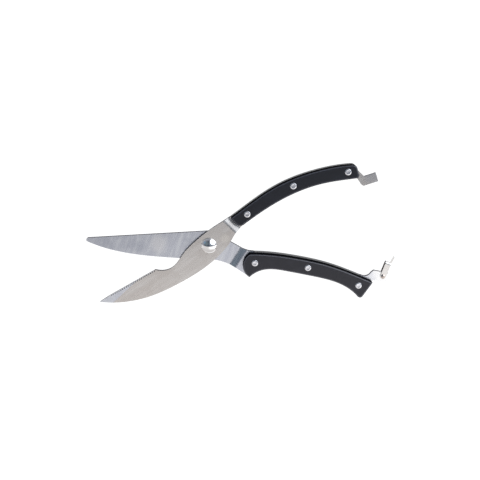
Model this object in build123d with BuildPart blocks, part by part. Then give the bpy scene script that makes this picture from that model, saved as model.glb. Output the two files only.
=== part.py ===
from build123d import *
import os
from math import cos, radians, sin

# Poultry shears, lying flat and fully open, in millimetres.
# The origin is where the pivot axis meets the plane that the shears rest on.  +Z runs up the pivot
# axis, through the domed bolt; the handles point along +X and the blades along -X.
# The plain half (lower handle) stays where it is.  The serrated half (upper handle) turns about Z.
# Both halves are drawn closed, in the plain half's frame, and the serrated half is then swung open.

os.makedirs("parts", exist_ok=True)

# ---- overall sizes
opening_angle = 30.0      # swing between closed and fully open, degrees
blade_reach = 101.0       # pivot axis to the blade tips
grip_start = 33.7         # pivot axis to the rounded front corner of a handle scale, along X
grip_length = 100.0       # that corner to the far corner of the scale
grip_width = 11.9         # one handle, edge to edge

# ---- blades: each one is stamped from sheet together with its tang
stock = 3.0               # sheet thickness
blade_gap = 0.10          # running gap between the flat inner faces
head_radius = 12.6        # blade head, pivot axis to the lower outline
joggle_start = 23.4       # pivot axis to where the sheet steps to the middle plane
joggle_length = 4.8       # length of that step
joggle_bend = 6.5         # radius of the step's four bends
plain_joggle_turn = -33.0     # direction of the plain half's step, from +X
serrated_joggle_turn = 15.5   # the same on the serrated half, closed
edge_bevel = 1.3          # width of the sharpened bevel on a blade face
edge_land = 1.1           # sheet thickness that the bevel leaves
tooth_pitch = 1.83
tooth_depth = 0.25        # at the blade's inner face
tooth_slope = 22.0        # the grooves deepen towards the outer face, degrees
tip_facet_slope = 4.0     # the flat ground on the serrated blade's tip, degrees

# ---- pivot
shank_radius = 3.0
thread_radius = 2.5
running_fit = 0.05        # radial and axial clearance of what turns
dome_radius = 6.4
dome_height = 3.8
dome_rim = 0.9
washer_radius = 6.0
washer_thickness = 0.5
nut_across_flats = 10.0
nut_height = 3.45         # its lower face lies in the plane that the shears rest on

# ---- return spring, in a recess coined into both blades
wire_radius = 0.75
coil_radius = 6.2         # to the middle of the wire
coil_pitch = 1.65
recess_depth = 1.75
recess_clearance = 0.3
leg_reach = 10.2          # pivot axis to the end of a spring leg
plain_leg_turn = 200.0    # direction of the leg in the plain blade

# ---- handle scales and their rivets
edge_round = 1.4          # rounding of a scale's outer edge
rivet_head_radius = 2.65
rivet_head_depth = 1.2
rivet_crown = 0.25
rivet_dimple_radius = 0.95
rivet_dimple_depth = 0.35
tube_radius = 2.1
pin_radius = 1.5
tube_end = 4.0            # tube's open end, below the front face of the front scale
pin_end = 3.0             # pin's end, above the rear face of the rear scale
bore_end = 2.0            # bottom of the tube's bore, above that face

# ---- latch, its rivet and the hook it closes over
pin_beyond_grip = 10.8    # latch pin past the end of the grip, along X
pin_drop = -26.4          # latch pin's height in Y
latch_slope = 11.5        # fall of the hook's flank and of the ledge below it, degrees
ledge_height = 3.3        # latch pin to the ledge that the hook closes towards
closing_gap = 0.8         # hook to ledge when closed
hook_depth = 7.3          # hook's bar, from its lower edge to its flank
latch_sheet = 0.8
latch_width = 4.7
latch_side_gap = 0.12     # cheek to the sheet between the cheeks
latch_bend = 2.0          # outer radius of the strap's two bends
latch_play = 0.7          # bridge to the hook's flank when latched
latch_turn = -8.5         # latch as it lies open, from its latched direction, degrees
tab_length = 7.2
tab_turn = -8.5           # thumb tab, from the latch's own direction, degrees
tab_corner = 1.2          # rounding of the tab's free corners
latch_pin_radius = 1.5
latch_head_radius = 1.9
latch_head_height = 0.9

# ---- heights that follow from the sizes above
scale_depth = nut_height + washer_thickness + stock + blade_gap / 2
middle = scale_depth      # plane where the scales meet and the blades slide
top_face = 2 * scale_depth
plain_top = middle - blade_gap / 2
plain_bottom = plain_top - stock
serrated_bottom = middle + blade_gap / 2
serrated_top = serrated_bottom + stock
tang_bottom = middle - stock / 2
tang_top = middle + stock / 2
wide = 3 * (blade_reach + grip_length)    # larger than the shears, for cuts that run right across

closed = Plane.XY
swung = Plane.XY.rotated((0, 0, opening_angle))

def on_blade(share, height):
    """A point at a share of the blade's reach from the pivot."""
    return (-share * blade_reach, height)

def on_grip(share, height):
    """A point at a share of the grip's length from its front corner."""
    return (grip_start + share * grip_length, height)

latch_pin = (grip_start + grip_length + pin_beyond_grip, pin_drop)

def at_latch(along, out):
    """A point placed from the latch pin, along the hook's flank and square to it."""
    fall = radians(latch_slope)
    x = latch_pin[0] + along * cos(fall) + out * sin(fall)
    y = latch_pin[1] - along * sin(fall) + out * cos(fall)
    return (x, y)

plain_rivets = [on_grip(0.04, -13.9), on_grip(0.478, -17.9), on_grip(0.90, -33.1)]
serrated_rivets = [on_grip(0.07, 7.8), on_grip(0.507, 9.3), on_grip(0.943, -2.8)]

# ---- outlines, drawn closed

tip_end = on_blade(1.004, 3.3)
heel = (-12.0, -12.2)
with BuildLine() as plain_edge:
    Spline(tip_end, on_blade(0.83, -3.3), on_blade(0.68, -6.8), on_blade(0.41, -10.1), heel)

with BuildSketch() as plain_outline:
    with BuildLine():
        tip_top = on_blade(0.985, 6.0)
        Line((-2.0, head_radius - 1.0), tip_top)
        ThreePointArc(tip_top, on_blade(1.006, 4.9), tip_end)
        add(plain_edge.line)
        Spline(heel, (4.1, -head_radius), (17.0, -16.6), (29.3, -24.2), (32.9, -26.6))
        Polyline(
            (32.9, -26.6),
            (37.0, -21.0),
            on_grip(0.13, -16.9),
            on_grip(0.41, -20.4),
            on_grip(0.68, -26.6),
            on_grip(0.85, -36.6),
            on_grip(0.925, -38.6),
            on_grip(0.965, -34.6),
            at_latch(-8.1, -5.8),
            at_latch(-5.5, -4.7),
            at_latch(3.9, -4.5),
            at_latch(3.9, ledge_height),
            at_latch(-8.6, ledge_height),
            at_latch(-10.4, 1.0),
        )
        ThreePointArc(at_latch(-10.4, 1.0), at_latch(-13.7, -2.6), at_latch(-17.9, -2.7))
        Polyline(
            at_latch(-17.9, -2.7),
            on_grip(0.86, -27.8),
            on_grip(0.66, -19.6),
            on_grip(0.41, -13.6),
            on_grip(0.085, -9.4),
            (36.6, -5.0),
            (32.6, -4.6),
            (27.5, -3.1),
            (17.6, 2.6),
        )
        ThreePointArc((17.6, 2.6), (9.6, 9.4), (-2.0, head_radius - 1.0))
    make_face()

first_tooth = on_blade(0.93, 4.6)
notch_lip = on_blade(0.487, 4.6)
with BuildSketch() as serrated_outline:
    with BuildLine():
        tip = on_blade(1.028, 4.0)
        Polyline(tip, first_tooth, notch_lip)
        Spline(
            notch_lip,
            (-44.2, 0.9),
            (-38.4, -0.8),
            (-32.0, 0.0),
            (-24.5, 3.6),
            (-12.0, 8.0),
            (5.0, 11.0),
            (15.4, 11.8),
            (28.4, 12.2),
        )
        Polyline(
            (28.4, 12.2),
            (32.5, 9.4),
            on_grip(0.13, 11.4),
            on_grip(0.33, 12.6),
            on_grip(0.48, 11.8),
            on_grip(0.75, 6.8),
            on_grip(0.92, 0.9),
            on_grip(0.985, -3.4),
            at_latch(-12.1, 17.2),
            at_latch(-10.1, 13.4),
            at_latch(-9.0, ledge_height + closing_gap + hook_depth),
            at_latch(0.6, ledge_height + closing_gap + hook_depth),
            at_latch(0.6, ledge_height + closing_gap),
            at_latch(-11.9, ledge_height + closing_gap),
            at_latch(-13.1, ledge_height + closing_gap + 1.6),
            at_latch(-14.9, ledge_height + closing_gap + 7.6),
            on_grip(0.955, -7.2),
            on_grip(0.84, -2.0),
            on_grip(0.58, 5.0),
            on_grip(0.40, 7.1),
            on_grip(0.22, 7.0),
            on_grip(0.06, 4.0),
            (32.0, 0.8),
            (23.9, -1.9),
            (16.6, -6.2),
        )
        Spline(
            (16.6, -6.2),
            (-2.4, -head_radius),
            on_blade(0.37, -15.3),
            on_blade(0.64, -12.9),
            on_blade(0.83, -7.2),
            tip,
        )
    make_face()

with BuildSketch() as plain_grip:
    with BuildLine():
        nose = (33.3, -26.1)
        shoulder = (grip_start, -6.2)
        far_top = on_grip(1.020, -30.6)
        far_low = on_grip(0.918, -45.6)
        ThreePointArc(nose, (27.9, -15.2), shoulder)
        Spline(
            shoulder,
            on_grip(0.20, -7.3),
            on_grip(0.41, -10.5),
            on_grip(0.66, -16.4),
            on_grip(0.84, -23.0),
            far_top,
        )
        Line(far_top, far_low)
        Spline(
            far_low,
            on_grip(0.86, -39.0),
            on_grip(0.73, -19.2 - grip_width),
            on_grip(0.53, -13.6 - grip_width),
            on_grip(0.30, -9.0 - grip_width),
            on_grip(0.155, -7.4 - grip_width),
            nose,
        )
    make_face()
    fillet(plain_grip.vertices().sort_by_distance((*shoulder, 0))[0], 3.0)
    fillet(plain_grip.vertices().sort_by_distance((*far_top, 0))[0], 0.7)
    fillet(plain_grip.vertices().sort_by_distance((*far_low, 0))[0], 2.6)

with BuildSketch() as serrated_grip:
    with BuildLine():
        nose = (27.2, 11.6)
        shoulder = (29.6, 0.9)
        far_top = on_grip(1.030, -1.0)
        far_low = on_grip(1.003, -11.9)
        Spline(
            nose,
            on_grip(0.13, 14.0),
            on_grip(0.32, 15.6),
            on_grip(0.48, 15.1),
            on_grip(0.75, 9.9),
            on_grip(0.91, 4.6),
            far_top,
        )
        Line(far_top, far_low)
        Spline(
            far_low,
            on_grip(0.90, 4.3 - grip_width),
            on_grip(0.72, 10.9 - grip_width),
            on_grip(0.48, 15.4 - grip_width),
            on_grip(0.21, 15.6 - grip_width),
            shoulder,
        )
        Line(shoulder, nose)
    make_face()
    fillet(serrated_grip.vertices().sort_by_distance((*nose, 0))[0], 0.8)
    fillet(serrated_grip.vertices().sort_by_distance((*shoulder, 0))[0], 5.0)
    fillet(serrated_grip.vertices().sort_by_distance((*far_top, 0))[0], 3.8)
    fillet(serrated_grip.vertices().sort_by_distance((*far_low, 0))[0], 2.2)

def heading(direction):
    """Unit vector in the flat of the shears, from a direction in degrees."""
    return Vector(cos(radians(direction)), sin(radians(direction)), 0)

def side_profile(blade_bottom, direction):
    """The sheet seen from its edge: blade level, step, tang level, across the whole piece."""
    edge_on = Plane(origin=(0, 0, 0), x_dir=heading(direction), z_dir=heading(direction - 90))
    with BuildSketch(edge_on) as profile:
        with BuildLine():
            Polyline(
                (-wide / 2, blade_bottom),
                (joggle_start, blade_bottom),
                (joggle_start + joggle_length, tang_bottom),
                (wide / 2, tang_bottom),
                (wide / 2, tang_bottom + stock),
                (joggle_start + joggle_length, tang_bottom + stock),
                (joggle_start, blade_bottom + stock),
                (-wide / 2, blade_bottom + stock),
                close=True,
            )
        make_face()
        bends = profile.vertices().filter_by(lambda corner: 0 < corner.X < wide / 4)
        fillet(bends, joggle_bend)
    return profile.sketch

def spring_seat(plane, level, direction):
    """Round recess for the coil and a slot for one leg, as a sketch at one height."""
    with BuildSketch(plane.offset(level)) as seat:
        Circle(coil_radius + wire_radius + recess_clearance)
        with PolarLocations(leg_reach / 2, 1, start_angle=direction):
            SlotOverall(
                leg_reach + 2 * (wire_radius + recess_clearance),
                2 * (wire_radius + recess_clearance),
            )
    return seat.sketch

def save(piece, name):
    """Label a finished piece and write its file."""
    piece.part.label = name
    export_step(piece.part, f"parts/{name}.step")

# ---- plain blade, with the lower tang and the latch's carrier

with BuildPart() as plain_blade:
    with BuildSketch(closed.offset(plain_bottom)):
        add(plain_outline.sketch)
    extrude(amount=tang_top - plain_bottom)
    extrude(
        side_profile(plain_bottom, plain_joggle_turn),
        amount=wide,
        both=True,
        mode=Mode.INTERSECT,
    )
    # the sharpened bevel, on the outer face along the curved cutting edge
    with BuildLine(closed.offset(plain_bottom)) as bevel_path:
        add(plain_edge.line)
    bevel_start = Plane(origin=bevel_path.line @ 0, x_dir=(0, 0, 1), z_dir=bevel_path.line % 0)
    with BuildSketch(bevel_start):
        with BuildLine():
            Polyline((stock - edge_land, 0), (0, edge_bevel), (-1.0, 0), (0, -1.0), close=True)
        make_face()
    sweep(path=bevel_path.line, mode=Mode.SUBTRACT)
    extrude(
        spring_seat(closed, plain_top - recess_depth, plain_leg_turn),
        amount=recess_depth,
        mode=Mode.SUBTRACT,
    )
    with BuildSketch(closed):
        Circle(shank_radius)
        with Locations(*plain_rivets):
            Circle(tube_radius + running_fit)
        with Locations(latch_pin):
            Circle(latch_pin_radius)
    extrude(amount=top_face, mode=Mode.SUBTRACT)
save(plain_blade, "plain_blade")

# ---- return spring: a coil round the pivot with one leg in each blade

coil_start = plain_top - recess_depth + running_fit + wire_radius
coil_end = serrated_bottom + recess_depth - running_fit - wire_radius
coil_turn = 360 * (coil_end - coil_start) / coil_pitch
serrated_leg_turn = plain_leg_turn + coil_turn

with BuildPart() as return_spring:
    with BuildLine(Plane(origin=(0, 0, coil_start), x_dir=heading(plain_leg_turn))) as coil:
        Helix(pitch=coil_pitch, height=coil_end - coil_start, radius=coil_radius)
    with BuildSketch(Plane(origin=coil.line @ 0, z_dir=coil.line % 0)):
        Circle(wire_radius)
    sweep(path=coil.line, is_frenet=True)
    for turn, level in ((plain_leg_turn, coil_start), (serrated_leg_turn, coil_end)):
        bend = heading(turn) * coil_radius + Vector(0, 0, level)
        with Locations(bend):
            Sphere(wire_radius)
        with BuildSketch(Plane(origin=bend, z_dir=heading(turn))):
            Circle(wire_radius)
        extrude(amount=leg_reach - coil_radius)
save(return_spring, "return_spring")

# ---- serrated blade, with the upper tang and the hook

with BuildPart() as serrated_blade:
    with BuildSketch(swung.offset(tang_bottom)):
        add(serrated_outline.sketch)
    extrude(amount=serrated_top - tang_bottom)
    extrude(
        side_profile(serrated_bottom, serrated_joggle_turn + opening_angle),
        amount=wide,
        both=True,
        mode=Mode.INTERSECT,
    )
    # the flat ground across the tip
    facet_start = swung.from_local_coords((*on_blade(0.70, 3.5), serrated_top))
    facet_foot = swung.from_local_coords((*on_blade(0.915, -1.5), serrated_top))
    along_facet = (facet_foot - facet_start).normalized()
    with BuildSketch(Plane(origin=facet_start, x_dir=Vector(0, 0, 1), z_dir=along_facet)):
        with BuildLine():
            drop = wide * sin(radians(tip_facet_slope))
            Polyline((0, 0), (-drop, wide * cos(radians(tip_facet_slope))), (stock, wide), (stock, 0),
                     close=True)
        make_face()
    extrude(amount=wide, both=True, mode=Mode.SUBTRACT)
    # the teeth: V grooves ground across the cutting edge, deeper towards the outer face
    edge_run = notch_lip[0] - first_tooth[0]
    groove_foot = ((first_tooth[0] + notch_lip[0]) / 2, first_tooth[1] - tooth_depth, serrated_bottom)
    groove_heading = (0, -sin(radians(tooth_slope)), cos(radians(tooth_slope)))
    with BuildSketch(
        Plane(
            origin=swung.from_local_coords(groove_foot),
            x_dir=heading(opening_angle),
            z_dir=swung.from_local_coords(groove_heading),
        )
    ):
        with Locations((0, 2 * stock)):
            with GridLocations(tooth_pitch, 0, int(edge_run / tooth_pitch), 1):
                RegularPolygon(2 * stock, 3, rotation=-90)
    extrude(amount=2 * stock, both=True, mode=Mode.SUBTRACT)
    extrude(
        spring_seat(swung, serrated_bottom, serrated_leg_turn - opening_angle),
        amount=recess_depth,
        mode=Mode.SUBTRACT,
    )
    with BuildSketch(swung):
        Circle(shank_radius + running_fit)
        with Locations(*serrated_rivets):
            Circle(tube_radius + running_fit)
    extrude(amount=top_face, mode=Mode.SUBTRACT)
save(serrated_blade, "serrated_blade")

# ---- handle scales: four shells, two round each tang

def handle_scale(plane, grip, outline, rivets, is_front):
    """One scale: rounded outer edge, a snug pocket for half the tang, and its rivet holes."""
    outer_face = top_face if is_front else 0
    head_floor = top_face - rivet_head_depth if is_front else 0
    with BuildPart() as scale:
        with BuildSketch(plane.offset(middle if is_front else 0)):
            add(grip.sketch)
        extrude(amount=scale_depth)
        rim = scale.faces().filter_by_position(Axis.Z, outer_face - 0.01, outer_face + 0.01)
        fillet(rim.edges(), edge_round)
        with BuildSketch(plane.offset(tang_bottom)):
            add(outline.sketch)
        extrude(amount=stock, mode=Mode.SUBTRACT)
        with BuildSketch(plane):
            with Locations(*rivets):
                Circle(tube_radius + running_fit)
        extrude(amount=top_face, mode=Mode.SUBTRACT)
        with BuildSketch(plane.offset(head_floor)):
            with Locations(*rivets):
                Circle(rivet_head_radius + running_fit)
        extrude(amount=rivet_head_depth, mode=Mode.SUBTRACT)
    return scale

save(handle_scale(closed, plain_grip, plain_outline, plain_rivets, True), "lower_front_scale")
save(handle_scale(closed, plain_grip, plain_outline, plain_rivets, False), "lower_rear_scale")
save(handle_scale(swung, serrated_grip, serrated_outline, serrated_rivets, True),
     "upper_front_scale")
save(handle_scale(swung, serrated_grip, serrated_outline, serrated_rivets, False),
     "upper_rear_scale")

# ---- two-part rivets: a solid front half pressed into a tubular rear half

def turned(place, profile):
    """A piece turned on a lathe: its half profile, radius and height, round a vertical axis."""
    with BuildPart() as piece:
        with BuildSketch(Plane(origin=place, x_dir=(1, 0, 0), z_dir=(0, -1, 0))):
            with BuildLine():
                Polyline(*profile, close=True)
            make_face()
        revolve(axis=Axis(place, (0, 0, 1)))
    return piece

front_rivet_profile = [
    (0, pin_end),
    (pin_radius, pin_end),
    (pin_radius, top_face - rivet_head_depth),
    (rivet_head_radius, top_face - rivet_head_depth),
    (rivet_head_radius, top_face),
    (rivet_head_radius - 0.5, top_face + 0.8 * rivet_crown),
    (rivet_dimple_radius + 0.4, top_face + rivet_crown),
    (rivet_dimple_radius, top_face + rivet_crown - 0.15),
    (rivet_dimple_radius - 0.2, top_face + rivet_crown - rivet_dimple_depth),
    (0, top_face + rivet_crown - rivet_dimple_depth),
]
rear_rivet_profile = [
    (0, rivet_dimple_depth),
    (rivet_dimple_radius - 0.2, rivet_dimple_depth),
    (rivet_dimple_radius, 0),
    (rivet_head_radius - 0.2, 0),
    (rivet_head_radius, 0.2),
    (rivet_head_radius, rivet_head_depth),
    (tube_radius, rivet_head_depth),
    (tube_radius, top_face - tube_end),
    (pin_radius, top_face - tube_end),
    (pin_radius, bore_end),
    (0, bore_end),
]
for handle, plane, places in (
    ("lower", closed, plain_rivets),
    ("upper", swung, serrated_rivets),
):
    for number, place in enumerate(places, start=1):
        spot = plane.from_local_coords((*place, 0))
        save(turned(spot, front_rivet_profile), f"{handle}_rivet_front_{number}")
        save(turned(spot, rear_rivet_profile), f"{handle}_rivet_rear_{number}")

# ---- pivot: domed bolt, washer and nut

dome_foot = serrated_top + running_fit
dome_rise = dome_height - dome_rim
dome_sphere = (dome_radius ** 2 + dome_rise ** 2) / (2 * dome_rise)
with BuildPart() as pivot_bolt:
    with BuildSketch(Plane.XZ):
        with BuildLine():
            RadiusArc((0, dome_foot + dome_height), (dome_radius, dome_foot + dome_rim),
                      dome_sphere)
            Polyline(
                (dome_radius, dome_foot + dome_rim),
                (dome_radius - 0.25, dome_foot),
                (shank_radius, dome_foot),
                (shank_radius, plain_bottom - washer_thickness),
                (thread_radius, plain_bottom - washer_thickness),
                (thread_radius, 0),
                (0, 0),
                (0, dome_foot + dome_height),
            )
        make_face()
    revolve(axis=Axis.Z)
save(pivot_bolt, "pivot_bolt")

with BuildPart() as pivot_washer:
    with BuildSketch(Plane.XY.offset(plain_bottom - washer_thickness)):
        Circle(washer_radius)
        Circle(shank_radius + running_fit, mode=Mode.SUBTRACT)
    extrude(amount=washer_thickness)
save(pivot_washer, "pivot_washer")

with BuildPart() as pivot_nut:
    with BuildSketch(Plane.XY):
        RegularPolygon(nut_across_flats / 2, 6, major_radius=False)
        Circle(thread_radius, mode=Mode.SUBTRACT)
    extrude(amount=nut_height)
save(pivot_nut, "pivot_nut")

# ---- latch: a folded strap with two cheeks, a bridge over the hook and a thumb tab

cheek_inner = stock / 2 + latch_side_gap
cheek_outer = cheek_inner + latch_sheet
bridge_inner = ledge_height + closing_gap + hook_depth + latch_play
bridge_outer = bridge_inner + latch_sheet
latch_plane = Plane(
    origin=(*latch_pin, middle),
    x_dir=heading(latch_turn - latch_slope),
    z_dir=(0, 0, 1),
)
edge_on_plane = Plane(
    origin=latch_plane.origin,
    x_dir=latch_plane.y_dir,
    z_dir=latch_plane.x_dir,
)
with BuildPart() as latch:
    with BuildSketch(latch_plane):
        Circle(latch_width / 2)
        Rectangle(latch_width, bridge_outer, align=(Align.CENTER, Align.MIN))
    extrude(amount=cheek_outer, both=True)
    bridge_face = latch.faces().sort_by(Axis(latch_plane.origin, latch_plane.y_dir))[-1]
    fillet(bridge_face.edges().filter_by(Axis(latch_plane.origin, latch_plane.x_dir)), latch_bend)
    tab_foot = latch_plane.from_local_coords((latch_width / 2 - latch_sheet, bridge_inner, 0))
    tab_plane = Plane(
        origin=tab_foot,
        x_dir=heading(latch_turn - latch_slope + tab_turn),
        z_dir=(0, 0, 1),
    )
    with BuildSketch(tab_plane):
        Rectangle(latch_sheet, tab_length, align=(Align.MIN, Align.MIN))
    extrude(amount=cheek_inner, both=True)
    tab_end = latch.faces().sort_by(Axis(latch_plane.origin, latch_plane.y_dir))[-1]
    fillet(tab_end.edges().sort_by(SortBy.LENGTH)[:2], tab_corner)
    with BuildSketch(edge_on_plane) as hollow:
        Rectangle(2 * bridge_inner, 2 * cheek_inner)
        fillet(hollow.vertices().group_by(Axis.X)[-1], latch_bend - latch_sheet)
    extrude(amount=latch_width, both=True, mode=Mode.SUBTRACT)
    with BuildSketch(latch_plane):
        Circle(latch_pin_radius + running_fit)
    extrude(amount=cheek_outer, both=True, mode=Mode.SUBTRACT)
save(latch, "latch")

head_start = cheek_outer + running_fit
head_top = head_start + latch_head_height
latch_rivet_profile = [
    (0, -head_top),
    (latch_head_radius - 0.7, -head_top),
    (latch_head_radius, -head_start - 0.35),
    (latch_head_radius, -head_start),
    (latch_pin_radius, -head_start),
    (latch_pin_radius, head_start),
    (latch_head_radius, head_start),
    (latch_head_radius, head_start + 0.35),
    (latch_head_radius - 0.7, head_top),
    (0, head_top),
]
save(turned(Vector(*latch_pin, middle), latch_rivet_profile), "latch_rivet")
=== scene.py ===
from math import acos, cos, pi, radians, sin

import bmesh
import bpy
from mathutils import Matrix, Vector


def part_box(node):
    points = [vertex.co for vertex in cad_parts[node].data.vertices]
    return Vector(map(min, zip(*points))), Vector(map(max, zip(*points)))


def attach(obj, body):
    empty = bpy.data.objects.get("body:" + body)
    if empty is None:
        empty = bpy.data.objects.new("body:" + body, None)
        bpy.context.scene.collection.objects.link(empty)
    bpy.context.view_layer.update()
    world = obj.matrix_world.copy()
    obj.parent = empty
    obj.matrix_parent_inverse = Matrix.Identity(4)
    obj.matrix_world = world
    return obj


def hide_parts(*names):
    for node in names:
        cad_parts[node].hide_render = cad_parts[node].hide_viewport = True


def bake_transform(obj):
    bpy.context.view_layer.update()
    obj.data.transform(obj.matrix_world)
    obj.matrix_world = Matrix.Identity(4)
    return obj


# Poultry shears, lying open on a pale table and seen from above.  Metres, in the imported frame:
# +Z up the pivot axis, handles along +X, blades along -X.

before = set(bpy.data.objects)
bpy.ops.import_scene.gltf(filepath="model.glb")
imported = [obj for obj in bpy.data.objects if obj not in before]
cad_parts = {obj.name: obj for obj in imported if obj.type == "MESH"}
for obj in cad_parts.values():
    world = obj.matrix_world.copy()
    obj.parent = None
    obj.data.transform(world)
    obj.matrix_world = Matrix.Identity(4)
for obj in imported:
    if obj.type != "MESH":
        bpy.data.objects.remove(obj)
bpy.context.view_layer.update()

MM = 0.001
LATCH_LEAN = radians(-20.0)    # the latch's crosswise direction as it stands, from +X
FACET_SLOPE, FACET_TURN = radians(4.0), radians(133.0)    # the tip's facet: its fall, and towards where
SWEEP_EDGE = radians(12.4)     # where the pale sweep ends, from the zenith towards -Y
TABLE_GLOW = 0.96              # light from below the table's sheet, which drowns the soft shadows
WIRE_RADIUS, COIL_RADIUS, COIL_PITCH = 0.75, 6.2, 1.65    # the return spring, mm
LEG_REACH, LEG_TURN = 10.2, 200.0    # its legs' ends: mm from the axis, and degrees from +X

PLAIN, SERRATED, LATCH = "plain_half", "serrated_half", "latch"


# ---- helpers

def linear(code):
    """An sRGB hex colour as linear RGBA."""
    parts = [int(code[i:i + 2], 16) / 255 for i in (1, 3, 5)]
    return tuple(c / 12.92 if c <= 0.04045 else ((c + 0.055) / 1.055) ** 2.4 for c in parts) + (1,)


def add(tree, kind, inputs=None, **settings):
    """One node: its settings are properties, its inputs are values or the sockets they come from."""
    node = tree.nodes.new(kind)
    for name, value in settings.items():
        setattr(node, name, value)
    for key, value in (inputs or {}).items():
        if isinstance(value, bpy.types.NodeSocket):
            tree.links.new(value, node.inputs[key])
        else:
            node.inputs[key].default_value = value
    return node


def new_material(name):
    """A material with an empty tree and its output: (material, tree, shader)."""
    material = bpy.data.materials.new(name)
    material.use_nodes = True
    tree = material.node_tree
    tree.nodes.clear()
    shader = add(tree, "ShaderNodeBsdfPrincipled")
    add(tree, "ShaderNodeOutputMaterial", {"Surface": shader.outputs[0]})
    return material, tree, shader


def coordinates(tree, turn=0.0, stretch=(1, 1, 1), centre=(0, 0, 0)):
    """Object coordinates in millimetres, turned about the pivot axis and then stretched."""
    place = add(tree, "ShaderNodeTexCoord")
    in_mm = add(tree, "ShaderNodeVectorMath", {0: place.outputs["Object"], 1: (1000, 1000, 1000)},
                operation="MULTIPLY")
    moved = add(tree, "ShaderNodeVectorMath", {0: in_mm.outputs[0], 1: centre}, operation="SUBTRACT")
    turned = add(tree, "ShaderNodeVectorRotate",
                 {"Vector": moved.outputs[0], "Axis": (0, 0, 1), "Angle": -turn})
    return add(tree, "ShaderNodeVectorMath", {0: turned.outputs[0], 1: stretch},
               operation="MULTIPLY").outputs[0]


def laid_over(tree, under, pattern, low, high, most, tone):
    """A colour laid over another where a pattern passes from low to high, by at most a share."""
    share = add(tree, "ShaderNodeMapRange",
                {"Value": pattern, "From Min": low, "From Max": high, "To Max": most},
                interpolation_type="SMOOTHSTEP")
    return add(tree, "ShaderNodeMix", {0: share.outputs[0], 6: under, 7: tone},
               data_type="RGBA").outputs[2]


def set_surface(tree, shader, colour, relief, roughness, depth, strength):
    """Wire a colour, a relief that roughens and shadows the surface, and its depth in mm."""
    tree.links.new(colour, shader.inputs["Base Color"])
    rough = add(tree, "ShaderNodeMapRange", {"Value": relief, "From Min": 0.3, "From Max": 0.7,
                                             "To Min": roughness[0], "To Max": roughness[1]})
    tree.links.new(rough.outputs[0], shader.inputs["Roughness"])
    bump = add(tree, "ShaderNodeBump", {"Strength": strength, "Distance": depth * MM, "Height": relief})
    tree.links.new(bump.outputs[0], shader.inputs["Normal"])


# ---- materials

def brushed_steel(name, grain_turn, tones, areas, roughness):
    """Brushed stainless sheet: fine parallel scratches that smear every reflection across the grain,
    broad streaks from the passes of the belt, faint clouds, and round areas of another tone, paler
    or darker: each has a centre and a radius in mm, how much it shows, and its tone."""
    material, tree, shader = new_material(name)
    dark, mid, light = (linear(tone) for tone in tones)
    # the belt's scratches are under 0.1 mm; they are drawn 0.8 mm wide so that they show
    grain = add(tree, "ShaderNodeTexNoise", {"Vector": coordinates(tree, grain_turn, (0.03, 1, 1)),
                                             "Scale": 1 / 0.8, "Detail": 2.0})
    passes = add(tree, "ShaderNodeTexNoise", {"Vector": coordinates(tree, grain_turn, (0.12, 1, 1)),
                                              "Scale": 1 / 3.2, "Detail": 3.0})
    clouds = add(tree, "ShaderNodeTexNoise", {"Vector": coordinates(tree), "Scale": 1 / 13,
                                              "Detail": 3.0})
    grain, passes, clouds = (node.outputs["Fac"] for node in (grain, passes, clouds))
    colour = laid_over(tree, mid, passes, 0.35, 0.68, 0.8, light)
    colour = laid_over(tree, colour, clouds, 0.55, 0.32, 0.6, dark)
    colour = laid_over(tree, colour, grain, 0.42, 0.72, 0.08, light)
    for centre, reach, most, tone in areas:
        away = add(tree, "ShaderNodeVectorMath", {0: coordinates(tree, centre=centre)},
                   operation="LENGTH")
        ragged = add(tree, "ShaderNodeMath", {0: clouds, 1: reach, 2: away.outputs["Value"]},
                     operation="MULTIPLY_ADD")
        colour = laid_over(tree, colour, ragged.outputs[0], 1.5 * reach, 0.8 * reach, most, linear(tone))
    shader.inputs["Metallic"].default_value = 1.0
    set_surface(tree, shader, colour, grain, roughness, 0.03, 0.02)
    return material


def moulded_plastic(name, tone, light_tone, rim_highlight_paint, sheen):
    """Moulded ABS with a fine spark-eroded texture: near black, with a soft grey sheen that the
    texture breaks up.  The start of the rounded rim is painted a paler line, a painted highlight.  The
    sheen is the shader's specular level."""
    material, tree, shader = new_material(name)
    # the texture's grit is about 0.05 mm; it is drawn 0.35 mm across so that it shows
    grit = add(tree, "ShaderNodeTexNoise", {"Vector": coordinates(tree), "Scale": 1 / 0.35,
                                            "Detail": 2.0, "Roughness": 0.6}).outputs["Fac"]
    rubbed = add(tree, "ShaderNodeTexNoise", {"Vector": coordinates(tree), "Scale": 1 / 11,
                                              "Detail": 2.0}).outputs["Fac"]
    colour = laid_over(tree, linear(tone), grit, 0.42, 0.72, 0.6, linear(light_tone))
    colour = laid_over(tree, colour, rubbed, 0.50, 0.75, 0.4, linear(light_tone))
    # 1 on the flat face, falling towards 0 round the rim
    normal = add(tree, "ShaderNodeTexCoord").outputs["Normal"]
    upward = add(tree, "ShaderNodeSeparateXYZ", {0: normal}).outputs["Z"]
    flatness = add(tree, "ShaderNodeMath", {0: upward}, operation="ABSOLUTE").outputs[0]
    # a paler line painted where the face turns into the rim: a painted highlight
    colour = laid_over(tree, colour, flatness, 0.995, 0.95, 1.0, linear(rim_highlight_paint))
    colour = laid_over(tree, colour, flatness, 0.90, 0.75, 1.0, linear(tone))
    shader.inputs["Specular IOR Level"].default_value = sheen
    set_surface(tree, shader, colour, grit, (0.36, 0.50), 0.05, 0.35)
    return material


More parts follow.
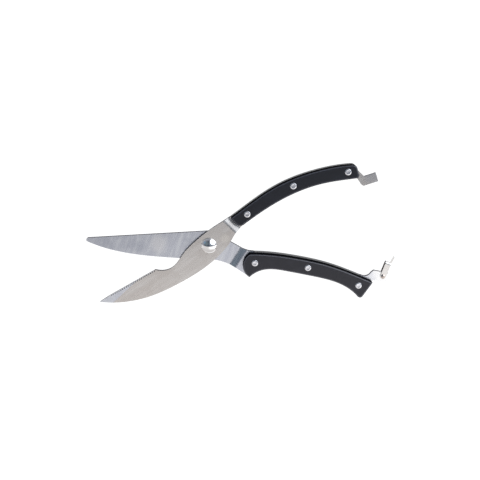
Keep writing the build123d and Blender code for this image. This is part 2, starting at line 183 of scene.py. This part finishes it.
def worked_metal(name, tone, stain, roughness, scratch_size, relief=0.15):
    """Bright metal from the lathe or the press: a clean tone with faint stains, and small scratches
    that keep the reflection from being perfect."""
    material, tree, shader = new_material(name)
    scratches = add(tree, "ShaderNodeTexNoise", {"Vector": coordinates(tree, 0.6, (0.25, 1, 1)),
                                                 "Scale": 1 / scratch_size, "Detail": 3.0})
    stains = add(tree, "ShaderNodeTexNoise", {"Vector": coordinates(tree), "Scale": 1 / 2.2,
                                              "Detail": 2.0})
    colour = laid_over(tree, linear(tone), stains.outputs["Fac"], 0.40, 0.75, 0.5, linear(stain))
    shader.inputs["Metallic"].default_value = 1.0
    set_surface(tree, shader, colour, scratches.outputs["Fac"], (0.8 * roughness, 1.3 * roughness),
                0.02, relief)
    return material


# areas: two pale stains by the pivot, and a darker area over the hook that is painted reflection of the
# dark room
serrated_steel = brushed_steel(
    "brushed_stainless_warm", radians(35), ("#ccc5c0", "#d6d1cd", "#e0dcd9"),
    (((13, 6, 10), 4.5, 0.45, "#f1ece4"), ((18, -3, 10), 3.0, 0.35, "#f1ece4"),
     ((134, 62, 7), 13.0, 0.6, "#c9c9cd")), (0.25, 0.30))
# the blue-grey tint of these tones is painted reflection of the dark blue room; of the areas, one is
# paler mid-blade, one darker towards the tip, and the pure white one on the tang's end by the latch is
# painted reflection of the pale sweep
plain_steel = brushed_steel(
    "brushed_stainless_cool", radians(70), ("#bfc2cd", "#d3d5de", "#e8eaef"),
    (((-42, 1, 7), 11.0, 0.7, "#f0eff1"), ((-92, 3, 7), 18.0, 0.25, "#c6c9d3"),
     ((145, -24, 7), 16.0, 1.0, "#ffffff")), (0.25, 0.30))
tip_steel = brushed_steel(
    "coarse_ground_stainless", radians(-10), ("#e3e3ea", "#eeeef3", "#f8f8fa"), (), (0.46, 0.56))
# one side of each groove is painted bright as a highlight and the other takes the dark edge colour
# as painted shade, by which way each side faces
lit_groove_painted_highlight = worked_metal("ground_stainless_painted_highlight", "#e4e4e8", "#d4d4da", 0.35, 0.30, 0.3)
# the punch leaves the sheet's edges rough and dull; their dark tone is painted shade, so they read as
# thin dark lines
dark_painted_edge = worked_metal("sheared_stainless_edge_painted_shade", "#4c4b4f", "#3a3a40", 0.62, 0.30, 0.5)
# the third tone of each plastic is its painted rim highlight
upper_plastic = moulded_plastic("moulded_abs_blue_black", "#10121a", "#1d212c", "#4a4c56", 0.38)
lower_plastic = moulded_plastic("moulded_abs_black", "#1e1d24", "#2f2e36", "#5b5b63", 0.50)
# the front shells' coarser walls keep no sheen and their darker tone is painted shade, so they read
# black; the rear shells' smoother ones catch the pale table
front_wall_painted_dark = moulded_plastic("coarse_abs_wall_painted_shade", "#0d0d10", "#17181c", "#17181c", 0.0)
rear_wall = moulded_plastic("smooth_abs_wall", "#1d1e22", "#2a2b30", "#2a2b30", 0.40)
satin_rivet = worked_metal("satin_turned_steel", "#dedee2", "#cfd0d6", 0.24, 0.30, 0.04)
dome_chrome = worked_metal("polished_chrome", "#e9e8e8", "#e0dfde", 0.05, 0.30, 0.05)
bright_strap = worked_metal("bright_rolled_steel", "#cfcdcb", "#c6c3c0", 0.14, 0.30, 0.08)
burnished_rivet = worked_metal("burnished_steel", "#c8bdb6", "#a89a92", 0.16, 0.20)
zinc_nut = worked_metal("zinc_plated_steel", "#b9bcc0", "#9ea1a6", 0.36, 0.30)
spring_wire = worked_metal("drawn_spring_wire", "#8a8c90", "#6c6e72", 0.32, 0.20)


# ---- pieces turned on a lathe, made by Geometry Nodes from a half profile

def turning_tree():
    """A tree that turns a half profile round Z and sets one copy on each place.
    The profile is a row of points: X is the radius and Z the height."""
    tree = bpy.data.node_groups.new("turned_piece", "GeometryNodeTree")
    for label, kind in (("Profile", "NodeSocketGeometry"), ("Places", "NodeSocketObject"),
                        ("Segments", "NodeSocketInt"), ("Random turn", "NodeSocketFloat"),
                        ("Seed", "NodeSocketInt"), ("Finish", "NodeSocketMaterial")):
        tree.interface.new_socket(label, in_out="INPUT", socket_type=kind)
    tree.interface.new_socket("Piece", in_out="OUTPUT", socket_type="NodeSocketGeometry")
    given = add(tree, "NodeGroupInput").outputs
    count = add(tree, "GeometryNodeAttributeDomainSize", {0: given["Profile"]}).outputs["Point Count"]
    columns = add(tree, "ShaderNodeMath", {0: given["Segments"], 1: 1.0}, operation="ADD")
    sheet = add(tree, "GeometryNodeMeshGrid", {"Size X": 1.0, "Size Y": 1.0,
                                               "Vertices X": columns.outputs[0], "Vertices Y": count})
    at = add(tree, "ShaderNodeSeparateXYZ", {0: add(tree, "GeometryNodeInputPosition").outputs[0]})
    angle = add(tree, "ShaderNodeMath", {0: at.outputs["X"], 1: 2 * pi}, operation="MULTIPLY")
    share = add(tree, "ShaderNodeMath", {0: at.outputs["Y"], 1: 0.5}, operation="ADD")
    last = add(tree, "ShaderNodeMath", {0: count, 1: 1.0}, operation="SUBTRACT")
    row = add(tree, "ShaderNodeMath", {0: share.outputs[0], 1: last.outputs[0]}, operation="MULTIPLY")
    row = add(tree, "ShaderNodeMath", {0: row.outputs[0]}, operation="ROUND")
    corner = add(tree, "GeometryNodeSampleIndex",
                 {"Geometry": given["Profile"],
                  "Value": add(tree, "GeometryNodeInputPosition").outputs[0],
                  "Index": row.outputs[0]}, data_type="FLOAT_VECTOR")
    size = add(tree, "ShaderNodeSeparateXYZ", {0: corner.outputs[0]})
    spun = add(tree, "ShaderNodeVectorRotate",
               {"Vector": add(tree, "ShaderNodeCombineXYZ", {0: size.outputs["X"]}).outputs[0],
                "Axis": (0, 0, 1), "Angle": angle.outputs[0]})
    lift = add(tree, "ShaderNodeCombineXYZ", {2: size.outputs["Z"]})
    place = add(tree, "ShaderNodeVectorMath", {0: spun.outputs[0], 1: lift.outputs[0]}, operation="ADD")
    shaped = add(tree, "GeometryNodeSetPosition", {"Geometry": sheet.outputs["Mesh"],
                                                   "Position": place.outputs[0]})
    closed = add(tree, "GeometryNodeMergeByDistance", {"Geometry": shaped.outputs[0],
                                                       "Distance": 0.000001})
    places = add(tree, "GeometryNodeObjectInfo", {"Object": given["Places"]})
    turn = add(tree, "FunctionNodeRandomValue", {3: given["Random turn"], "Seed": given["Seed"]},
               data_type="FLOAT")
    turn_axis = add(tree, "ShaderNodeCombineXYZ", {2: turn.outputs[1]})
    copies = add(tree, "GeometryNodeInstanceOnPoints",
                 {"Points": places.outputs["Geometry"], "Instance": closed.outputs[0],
                  "Rotation": turn_axis.outputs[0]})
    real = add(tree, "GeometryNodeRealizeInstances", {0: copies.outputs[0]})
    finished = add(tree, "GeometryNodeSetMaterial", {"Geometry": real.outputs[0],
                                                     "Material": given["Finish"]})
    add(tree, "NodeGroupOutput", {0: finished.outputs[0]})
    return tree


def loose_points(name, points):
    """A mesh of points with no faces, as an object outside the shown scene."""
    mesh = bpy.data.meshes.new(name)
    mesh.from_pydata(points, [], [])
    return bpy.data.objects.new(name, mesh)


turned_piece = turning_tree()


def turned(name, profile, places, finish, segments=48, sharp=radians(40)):
    """Pieces turned from a half profile of (radius, height) in mm, one at each place in metres."""
    blank = loose_points(name, [(r * MM, 0, z * MM) for r, z in profile])
    spots = loose_points(name + "_places", places)
    bpy.context.scene.collection.objects.link(blank)
    bpy.context.scene.collection.objects.link(spots)
    modifier = blank.modifiers.new("turn", "NODES")
    modifier.node_group = turned_piece
    values = {"Places": spots, "Segments": segments, "Random turn": 2 * pi, "Seed": 5, "Finish": finish}
    for item in turned_piece.interface.items_tree:
        if item.in_out == "INPUT" and item.name in values:
            modifier[item.identifier] = values[item.name]
    evaluated = blank.evaluated_get(bpy.context.evaluated_depsgraph_get())
    mesh = bpy.data.meshes.new_from_object(evaluated)
    for helper in (blank, spots):
        bpy.data.objects.remove(helper)
    return finish_mesh(name, mesh, sharp)


def finish_mesh(name, mesh, sharp):
    """Faces turned outwards, smooth up to the sharp angle, as a shown object at the origin."""
    work = bmesh.new()
    work.from_mesh(mesh)
    bmesh.ops.remove_doubles(work, verts=work.verts, dist=0.000001)
    bmesh.ops.recalc_face_normals(work, faces=work.faces)
    work.to_mesh(mesh)
    work.free()
    mesh.shade_smooth()
    mesh.set_sharp_from_angle(angle=sharp)
    piece = bpy.data.objects.new(name, mesh)
    bpy.context.scene.collection.objects.link(piece)
    return piece


def arc(centre, radius, start, end, steps):
    """Points of a profile's arc, in mm; angles in degrees from the radius direction."""
    return [(centre[0] + radius * cos(radians(start + (end - start) * i / steps)),
             centre[1] + radius * sin(radians(start + (end - start) * i / steps)))
            for i in range(steps + 1)]


def centre_of(node):
    """A node's axis, from its box."""
    low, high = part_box(node)
    return ((low[0] + high[0]) / 2, (low[1] + high[1]) / 2, 0)


low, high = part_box("lower_rivet_front_1")
head = (high[0] - low[0]) / 2 / MM
front, pin_foot = high[2] / MM, low[2] / MM
low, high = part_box("lower_rivet_rear_1")
tube_mouth = high[2] / MM
front_rivet = ([(0, pin_foot), (1.35, pin_foot), (1.5, pin_foot + 0.15), (1.5, front - 1.45),
                (head - 0.02, front - 1.45), (head - 0.02, front - 0.38)]
               + arc((head - 0.30, front - 0.38), 0.28, 0, 75, 5)
               + [(2.1, front - 0.01), (1.6, front), (1.45, front - 0.01), (1.3, front - 0.05),
                  (1.15, front - 0.06), (0, front - 0.06)])
rear_rivet = ([(0, 2.0), (1.5, 2.0), (1.5, tube_mouth), (2.1, tube_mouth), (2.1, 1.2),
               (head - 0.02, 1.2), (head - 0.02, 0.35)]
              + arc((head - 0.30, 0.35), 0.28, 0, -75, 5)
              + [(1.5, 0.05), (1.2, 0.12), (0.85, 0.32), (0.4, 0.36), (0, 0.34)])
for handle, body in (("lower", PLAIN), ("upper", SERRATED)):
    for side, profile in (("front", front_rivet), ("rear", rear_rivet)):
        nodes = [f"{handle}_rivet_{side}_{i}" for i in (1, 2, 3)]
        rivets = turned(f"{handle}_rivets_{side}", profile, [centre_of(n) for n in nodes], satin_rivet)
        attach(rivets, body)
        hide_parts(*nodes)

low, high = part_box("pivot_bolt")
dome_radius, dome_top = (high[0] - low[0]) / 2 / MM, high[2] / MM
dome_foot = dome_top - 3.8
dome_rise = 2.9
dome_sphere = (dome_radius ** 2 + dome_rise ** 2) / (2 * dome_rise)

cap_turn = 180 / pi * acos((dome_radius - 0.12) / dome_sphere)
bolt_profile = ([(0, 0), (2.2, 0), (2.5, 0.3), (2.5, 3.45), (3.0, 3.45), (3.0, dome_foot),
                 (dome_radius - 0.25, dome_foot), (dome_radius - 0.02, dome_foot + 0.3),
                 (dome_radius - 0.02, dome_foot + 0.75)]
                + arc((0, dome_top - dome_sphere), dome_sphere, cap_turn, 90, 28))
bolt = turned("pivot_dome_bolt", bolt_profile, [(0, 0, 0)], dome_chrome, 96)
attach(bolt, PLAIN)
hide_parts("pivot_bolt")

# ---- return spring

low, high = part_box("return_spring")
coil_start, coil_end = low[2] / MM + WIRE_RADIUS, high[2] / MM - WIRE_RADIUS
coil_turn = 360 * (coil_end - coil_start) / COIL_PITCH
path = [(LEG_REACH * cos(radians(LEG_TURN)), LEG_REACH * sin(radians(LEG_TURN)), coil_start)]
for i in range(73):
    turn = radians(LEG_TURN + coil_turn * i / 72)
    path.append((COIL_RADIUS * cos(turn), COIL_RADIUS * sin(turn),
                 coil_start + (coil_end - coil_start) * i / 72))
turn = radians(LEG_TURN + coil_turn)
path.append((LEG_REACH * cos(turn), LEG_REACH * sin(turn), coil_end))
wire_curve = bpy.data.curves.new("return_spring_wire", "CURVE")
wire_curve.dimensions = "3D"
wire_curve.bevel_depth = (WIRE_RADIUS - 0.02) * MM
wire_curve.bevel_resolution = 5
wire_curve.use_fill_caps = True
line = wire_curve.splines.new("POLY")
line.points.add(len(path) - 1)
for point, (x, y, z) in zip(line.points, path):
    point.co = (x * MM, y * MM, z * MM, 1)
holder = bpy.data.objects.new("return_spring_wire", wire_curve)
bpy.context.scene.collection.objects.link(holder)
mesh = bpy.data.meshes.new_from_object(holder.evaluated_get(bpy.context.evaluated_depsgraph_get()))
bpy.data.objects.remove(holder)
spring = finish_mesh("torsion_spring", mesh, radians(50))
spring.data.materials.clear()
spring.data.materials.append(spring_wire)
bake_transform(spring)
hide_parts("return_spring")

# ---- pivot washer and nut, latch rivet

low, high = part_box("pivot_washer")
outer, under, over = (high[0] - low[0]) / 2 / MM, low[2] / MM, high[2] / MM
washer_profile = ([(3.05, under + 0.05), (3.1, under), (outer - 0.2, under), (outer - 0.02, under + 0.15),
                   (outer - 0.02, over - 0.1), (outer - 0.1, over), (3.1, over), (3.05, over - 0.05),
                   (3.05, under + 0.05)])
washer = turned("bright_washer", washer_profile, [(0, 0, 0)], zinc_nut, 64)
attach(washer, PLAIN)
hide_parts("pivot_washer")

nut_flat, nut_top, nut_bore = (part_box("pivot_nut")[1][1]) / MM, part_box("pivot_nut")[1][2] / MM, 2.5
chamfer_start, chamfer_slope = 0.94 * nut_flat, 0.577
rings = [[] for _ in range(8)]
for i in range(96):
    angle = 2 * pi * i / 96
    corner = nut_flat / cos(angle % (pi / 3) - pi / 6)
    drop = chamfer_slope * (corner - chamfer_start)
    section = [(nut_bore, 0.3), (nut_bore + 0.3, 0), (chamfer_start, 0), (corner - 0.02, drop),
               (corner - 0.02, nut_top - drop), (chamfer_start, nut_top), (nut_bore + 0.3, nut_top),
               (nut_bore, nut_top - 0.3)]
    for ring, (radius, z) in zip(rings, section):
        ring.append((radius * cos(angle) * MM, radius * sin(angle) * MM, z * MM))
mesh = bpy.data.meshes.new("chamfered_nut")
mesh.from_pydata([point for ring in rings for point in ring], [],
                 [(96 * r + i, 96 * r + (i + 1) % 96, 96 * ((r + 1) % 8) + (i + 1) % 96,
                   96 * ((r + 1) % 8) + i) for r in range(8) for i in range(96)])
nut = finish_mesh("chamfered_nut", mesh, radians(25))
nut.data.materials.append(zinc_nut)
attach(nut, PLAIN)
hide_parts("pivot_nut")

low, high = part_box("latch_rivet")
head, foot, top = (high[0] - low[0]) / 2 / MM - 0.02, low[2] / MM, high[2] / MM
crown = 2.6                    # radius of the domed heads
cap_turn = 180 / pi * acos(head / crown)
latch_rivet_profile = (arc((0, foot + crown), crown, -90, -cap_turn, 8)
                       + [(head, foot + 0.9), (1.5, foot + 0.9), (1.5, top - 0.9), (head, top - 0.9)]
                       + arc((0, top - crown), crown, cap_turn, 90, 8))
latch_pin = turned("domed_latch_rivet", latch_rivet_profile, [centre_of("latch_rivet")], burnished_rivet)
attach(latch_pin, PLAIN)
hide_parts("latch_rivet")

# ---- blades, strap and scales: the imported shape, whose edges, groove sides and walls take finishes of
# its own; the edges are painted dark as shade, and the groove sides painted lit and shaded


def finished_copy(name, node, body, finishes, finish_of, sharp):
    """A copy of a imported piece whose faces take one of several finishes, by their normal."""
    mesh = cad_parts[node].data.copy()
    piece = finish_mesh(name, mesh, sharp)
    mesh.materials.clear()
    for finish in finishes:
        mesh.materials.append(finish)
    for face in mesh.polygons:
        face.material_index = finish_of(face.normal)
    work = bmesh.new()
    work.from_mesh(mesh)
    for edge in work.edges:
        if len({face.material_index for face in edge.link_faces}) > 1:
            edge.smooth = False
    work.to_mesh(mesh)
    work.free()
    even = piece.modifiers.new("even_shading", "WEIGHTED_NORMAL")
    even.keep_sharp = True
    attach(piece, body)
    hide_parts(node)


FACET_NORMAL = Vector((sin(FACET_SLOPE) * cos(FACET_TURN), sin(FACET_SLOPE) * sin(FACET_TURN),
                       cos(FACET_SLOPE)))


def plain_finish(normal):
    """1 on the plain blade's sheared edges, 0 on its brushed faces and bends."""
    return int(abs(normal.z) < 0.2)


def serrated_finish(normal):
    """0 on brushed faces, 1 on sheared edges and on each groove's side that faces -X, painted dark as
    shade, 2 on its other side, painted bright as a highlight, and 3 on the flat ground across the tip."""
    if abs(normal.z) < 0.12:
        return 1
    if abs(normal.z) < 0.30:
        return 1 if normal.x < -0.5 else 2
    return 3 if normal.dot(FACET_NORMAL) > 0.9998 else 0


def strap_edge(normal):
    """1 on the latch's sheared edges, 0 on its flats, bends and thumb tab."""
    return int(abs(normal.x * cos(LATCH_LEAN) + normal.y * sin(LATCH_LEAN)) > 0.996)


def scale_side(normal):
    """0 on a scale's face and rounded rim, 1 on its walls."""
    return int(abs(normal.z) < 0.5)


finished_copy("plain_blade_sheet", "plain_blade", PLAIN,
              (plain_steel, dark_painted_edge), plain_finish, radians(25))
finished_copy("serrated_blade_sheet", "serrated_blade", SERRATED,
              (serrated_steel, dark_painted_edge, lit_groove_painted_highlight, tip_steel), serrated_finish, radians(25))
finished_copy("latch_strap", "latch", LATCH, (bright_strap, dark_painted_edge), strap_edge,
              radians(20))
for handle, body, plastic in (("lower", PLAIN, lower_plastic), ("upper", SERRATED, upper_plastic)):
    for side, wall in (("front", front_wall_painted_dark), ("rear", rear_wall)):
        finished_copy(f"{handle}_{side}_shell", f"{handle}_{side}_scale", body,
                      (plastic, wall), scale_side, radians(25))

# ---- table, light and camera

work = bmesh.new()
bmesh.ops.create_circle(work, cap_ends=True, segments=64, radius=4.0)
table_mesh = bpy.data.meshes.new("table")
work.to_mesh(table_mesh)
work.free()
table = bpy.data.objects.new("table", table_mesh)
table.location.z = -0.0001
bpy.context.scene.collection.objects.link(table)
# opal acrylic, cast and lit from below: an even, shadowless pale ground with a faint unevenness
opal_sheet, tree, shader = new_material("opal_acrylic_sheet")
unevenness = add(tree, "ShaderNodeTexNoise", {"Vector": coordinates(tree), "Scale": 1 / 40})
opal = laid_over(tree, linear("#808080"), unevenness.outputs["Fac"], 0.3, 0.7, 1.0, linear("#7a7a7a"))
tree.links.new(opal, shader.inputs["Base Color"])
shader.inputs["Roughness"].default_value = 0.9
shader.inputs["Emission Color"].default_value = (1, 1, 1, 1)
shader.inputs["Emission Strength"].default_value = TABLE_GLOW
table_mesh.materials.append(opal_sheet)

world = bpy.data.worlds.new("studio")
bpy.context.scene.world = world
world.use_nodes = True
studio = world.node_tree
studio.nodes.clear()
direction = add(studio, "ShaderNodeTexCoord").outputs["Generated"]


def card(sky, azimuth, from_zenith, inner, outer, tone, strength):
    """A round card or soft box in the studio: angles in degrees, colour times strength."""
    aim = Vector((sin(radians(from_zenith)) * cos(radians(azimuth)),
                  sin(radians(from_zenith)) * sin(radians(azimuth)), cos(radians(from_zenith))))
    toward = add(studio, "ShaderNodeVectorMath", {0: direction, 1: aim}, operation="DOT_PRODUCT")
    colour = tuple(c * strength for c in linear(tone)[:3]) + (1,)
    return laid_over(studio, sky, toward.outputs["Value"], cos(radians(outer)), cos(radians(inner)),
                     1.0, colour)


# a dark room towards +Y, paler near the floor, with one large lamp on its right, and a pale sweep
# towards -Y.  The edge
# between them is straight and level.
heading = add(studio, "ShaderNodeSeparateXYZ", {0: direction})
sky = laid_over(studio, (0.075, 0.092, 0.125, 1), heading.outputs["Z"], 0.80, 0.30, 1.0,
                (0.34, 0.36, 0.41, 1))
sky = card(sky, 147, 38, 4, 30, "#738189", 1.0)
sky = card(sky, 40, 30, 6, 32, "#98a2ae", 1.0)
sky = card(sky, 150, 62, 4, 16, "#7f9db5", 1.0)
sky = card(sky, 40, 59, 22, 36, "#f4f9ff", 3.0)
past_edge = add(studio, "ShaderNodeVectorMath",
                {0: direction, 1: (0, cos(SWEEP_EDGE), sin(SWEEP_EDGE))}, operation="DOT_PRODUCT")
sweep = laid_over(studio, (0.86, 0.845, 0.84, 1), heading.outputs["X"], -0.25, 0.30, 1.0,
                  (1.60, 1.58, 1.57, 1))
sweep = laid_over(studio, sweep, past_edge.outputs["Value"], -0.25, -0.75, 1.0, (0.72, 0.70, 0.69, 1))
sky = laid_over(studio, sky, past_edge.outputs["Value"], 0.02, -0.03, 1.0, sweep)
background = add(studio, "ShaderNodeBackground", {"Color": sky, "Strength": 1.0})
add(studio, "ShaderNodeOutputWorld", {"Surface": background.outputs[0]})

camera_data = bpy.data.cameras.new("camera")
camera_data.sensor_width = 36.0
camera_data.lens = 59.33
camera_data.clip_start = 0.01
camera = bpy.data.objects.new("camera", camera_data)
camera.location = (0.02547, 0.15126, 0.64418)
camera.rotation_euler = (radians(-13.0), 0, 0)
bpy.context.scene.collection.objects.link(camera)
bpy.context.scene.camera = camera
bpy.context.scene.view_settings.view_transform = "Standard"
